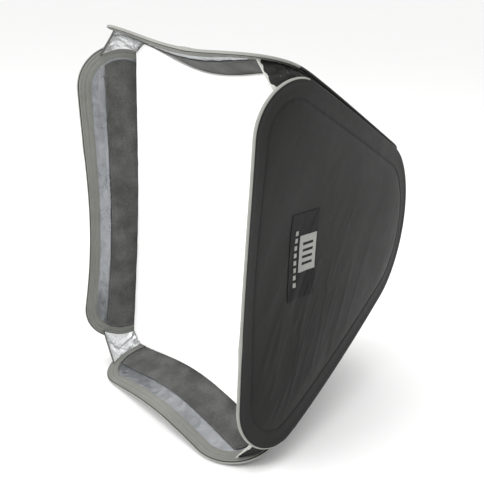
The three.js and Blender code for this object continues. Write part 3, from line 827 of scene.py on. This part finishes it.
white_cloth = cloth_material("white_cloth", (0.9, 0.9, 0.895), (0.95, 0.95, 0.945), 0.85,
                             900.0, 0.2, 12.0, 0.05, sheen=0.1)
rim = diffuser_rim()
shares = np.concatenate([[1, 0.997, 0.985, 0.97, 0.955, 0.945, 0.938, 0.93], np.linspace(0.9, 0.04, 26)])
x, z = shares[:, None] * rim[:, 0], shares[:, None] * rim[:, 1]
inwards = 1 - shares[:, None] + 0 * x
hem = 0.5 * np.clip(1 - np.abs(inwards - 0.03) / 0.03, 0, 1) ** 0.3
belly = -5.0 * (1 - (x / 0.2) ** 2).clip(0, 1) * (1 - (z / 0.25) ** 2).clip(0, 1)
slack = 1.2 * smooth_noise(x, z, 70 * mm, 400) * inwards.clip(0, 1)
soft = slack + 0.3 * smooth_noise(x, z, 14 * mm, 401)
front = np.stack([x, diffuser_y + (0.3 - hem + belly + soft) * mm, z], -1)
behind = np.stack([x, diffuser_y + (0.9 + 0.3 * hem + belly + soft) * mm, z], -1)
diffuser = shell_piece("diffuser_panel", front, behind, np.stack([x, z], -1), [white_cloth])
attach(diffuser, "diffuser")
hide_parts("diffuser_cloth")
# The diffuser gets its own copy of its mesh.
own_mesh(diffuser)

hook_step, hook_width = 3 * mm, 16 * mm
hook_tape = pile_material("white_hook_tape", (0.7, 0.7, 0.69), (0.86, 0.86, 0.85), 1400.0, 0.8)
for seed, side in enumerate(sides):
    panel = panels[side]
    start = diffuser_share * panel.slope + hook_step
    strip, *_ = cross_tape(f"hook_tape_{side}", panel, start, hook_width, 3.9 * mm, 5.1 * mm,
                           [hook_tape], 160 + seed, wave=0.15)
    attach(strip, "diffuser")
    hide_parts(f"diffuser_hook_strip_{side}")
    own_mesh(strip)


# ---- Rear tabs -------------------------------------------------------------------------------
# Four tabs of black webbing are sewn inside the rear edges. Each carries a pad of hook tape and
# folds back round the lamp's housing to grip it.

tab_length, tab_width, tab_thick = 58 * mm, 38 * mm, 1.2 * mm


def tab_frame(side):
    """Where a tab is sewn, and its three directions: forwards, across, and towards the panel."""
    hinge = next(j for j in frame["joints"] if j["name"] == f"{side}_tab_fold")
    tip_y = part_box(f"rear_tab_{side}")[0][1]
    panel = panels[side]
    root = np.array(hinge["pos_m"])
    drop = (root[1] - tip_y) / tab_length
    forward = sqrt(max(0, 1 - drop ** 2)) * panel.outward + np.array([0, -drop, 0])
    forward /= np.linalg.norm(forward)
    outward = panel.outward - (panel.outward @ forward) * forward
    return root, forward, panel.along, outward / np.linalg.norm(outward)


def web_strip(name, at, start, length, width, base, thick, materials, rounding, seed):
    """A flat strip with rounded free corners: its half width shrinks at the far end by an arc of
    the rounding, and its faces swell a little in the middle."""
    root, forward, across, outward = at
    u, v = np.meshgrid(np.linspace(0, 1, 48), np.linspace(-1, 1, 25), indexing="ij")
    to_end = (1 - u) * length
    arc = rounding - np.sqrt(np.clip(rounding ** 2 - np.clip(rounding - to_end, 0, None) ** 2, 0, None))
    half = width / 2 - arc
    soft = 0.12 * mm * smooth_noise(u * length, v * width, 9 * mm, seed)
    swell = 0.15 * mm * (1 - v ** 8) * (1 - (2 * u - 1) ** 12)
    flat_at = root + (start + u * length)[..., None] * forward + (v * half)[..., None] * across
    near = flat_at + (base - swell + soft)[..., None] * outward
    far = flat_at + (base + thick + swell + soft)[..., None] * outward
    return slab_piece(name, near, far, np.stack([u * length, v * half], -1), materials)


black_web = cloth_material("black_web", (0.01, 0.01, 0.01), (0.02, 0.02, 0.019), 0.7,
                           480.0, 0.8, 60.0, 0.1)
hook_pad = pile_material("black_hook_tape", (0.008, 0.008, 0.008), (0.022, 0.022, 0.022), 1500.0, 0.9)
pad_start, pad_length, pad_width, pad_thick = 12 * mm, 40 * mm, 32 * mm, 1.0 * mm
pad_base = tab_thick / 2 + 0.3 * mm
stitch_corners = [(14, -14), (50, -14), (50, 14), (14, 14), (14, -14)]

for seed, side in enumerate(sides):
    at = tab_frame(side)
    tab = web_strip(f"{side}_tab_web", at, 0, tab_length, tab_width, -tab_thick / 2, tab_thick,
                    [black_web], 9 * mm, 200 + seed)
    pad = web_strip(f"{side}_tab_hooks", at, pad_start, pad_length, pad_width, pad_base, pad_thick,
                    [hook_pad], 5 * mm, 210 + seed)
    root, forward, across, outward = at
    path = np.array([root + a * mm * forward + b * mm * across - 0.8 * mm * outward
                     for a, b in stitch_corners])
    box_stitch = stitch_row(f"{side}_tab_stitches", path, outward, grey_thread)
    for piece in (tab, pad, box_stitch):
        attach(piece, f"{side}_tab")
    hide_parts(f"rear_tab_{side}")
    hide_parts(f"rear_tab_hook_pad_{side}")


# ---- Label -----------------------------------------------------------------------------------
# A woven satin patch is sewn to the right panel. It carries a pale square with plain stripes and
# a row of plain bars, and no lettering.

label_down, label_rise = 123 * mm, 9 * mm
label_length, label_width = 117 * mm, 60 * mm
square_down, square_rise = label_down + 9 * mm, label_rise + 2 * mm
patch_lift, print_lift, stripe_lift = 0.15 * mm, 0.75 * mm, 1.1 * mm


def on_skin(name, rise, down_at, length, width, lift, thick, material):
    """A rectangle that lies on the right panel's cloth, following its folds at a given lift."""
    u, v = np.meshgrid(np.linspace(-0.5, 0.5, 61), np.linspace(-0.5, 0.5, 31), indexing="ij")
    along, down = rise + u * length, down_at + v * width
    well_inside = np.full(u.shape, 0.1)
    lie = skin_height(along, down, well_inside, 5)
    back = panel_points(panels["right"], along, down, lie + lift)
    face = panel_points(panels["right"], along, down, lie + lift + thick)
    return slab_piece(name, face, back, np.stack([along, down], -1), [material])


label_satin = cloth_material("label_satin", (0.004, 0.004, 0.004), (0.007, 0.007, 0.007), 0.45,
                             1600.0, 0.25, 20.0, 0.05, gloss=0.12)
label_grey = cloth_material("label_grey", (0.22, 0.22, 0.21), (0.31, 0.31, 0.295), 0.6,
                            1600.0, 0.3, 20.0, 0.05)
patch = on_skin("label_cloth", label_rise, label_down, label_length, label_width, patch_lift, 0.5 * mm,
                label_satin)
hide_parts("label_patch")
badge = on_skin("label_square", square_rise, square_down, 50 * mm, 36 * mm, print_lift, 0.3 * mm,
                label_grey)
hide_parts("label_badge")
marks = [patch, badge]
for number, rise in enumerate((-14, -5, 4, 13)):
    marks.append(on_skin(f"label_stripe_{number}", square_rise + rise * mm, square_down,
                         3.5 * mm, 22 * mm, stripe_lift, 0.2 * mm, label_satin))
for number, rise in enumerate(np.linspace(32, -38, 8)):
    marks.append(on_skin(f"label_bar_{number}", label_rise + rise * mm, label_down - 17 * mm,
                         6 * mm, 5.5 * mm, print_lift, 0.3 * mm, label_grey))
for piece in marks:
    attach(piece, "right_panel")


# ---- Studio ----------------------------------------------------------------------------------
# A pale plain sweep, a broad soft light in front of the mouth, one above, and the camera to the
# right of the mouth, a little above its middle.

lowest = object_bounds()[0][2]
bpy.ops.mesh.primitive_plane_add(size=60, location=(0, 0, lowest - 0.5 * mm))
floor = bpy.context.object
floor.name = "studio_floor"
floor_material, floor_tree, floor_shader = plain_material("studio_floor", (0.93, 0.93, 0.925), 0.9)
floor_where = add_node(floor_tree, "TexCoord").outputs["Object"]
floor_marks = place_group(floor_tree, handling, {"Vector": floor_where, "Scale": 2.0})
vary_colour(floor_tree, floor_shader, floor_marks.outputs[0], (0.925, 0.925, 0.92),
            (0.935, 0.935, 0.93))
floor.data.materials.append(floor_material)


def soft_light(name, place, size, power):
    """A square area light aimed at the middle of the softbox."""
    data = bpy.data.lights.new(name, "AREA")
    data.size, data.energy = size, power
    light = bpy.data.objects.new(name, data)
    light.location = place
    aim = Vector((0, -0.2, 0)) - Vector(place)
    light.rotation_euler = aim.to_track_quat("-Z", "Y").to_euler()
    bpy.context.scene.collection.objects.link(light)


soft_light("front_light", (-0.5, -2.6, 1.0), 1.8, 42)
soft_light("top_light", (0.3, -0.2, 2.6), 2.2, 34)

world = bpy.data.worlds.new("studio")
world.use_nodes = True
world.node_tree.nodes["Background"].inputs["Color"].default_value = (1, 1, 1, 1)
world.node_tree.nodes["Background"].inputs["Strength"].default_value = 1.0
scene = bpy.context.scene
scene.world = world
scene.view_settings.view_transform = "Standard"

camera_data = bpy.data.cameras.new("camera")
camera_data.sensor_width = 36
camera_data.lens = 63.0
camera = bpy.data.objects.new("camera", camera_data)
camera.location = (0.944, -1.002, 0.354)
azimuth, elevation, roll = 52.18, 17.72, 2.84
turn = Euler((radians(90 - elevation), 0, radians(azimuth))).to_quaternion()
camera.rotation_mode = "QUATERNION"
camera.rotation_quaternion = turn @ Euler((0, 0, radians(roll))).to_quaternion()
scene.collection.objects.link(camera)
scene.camera = camera
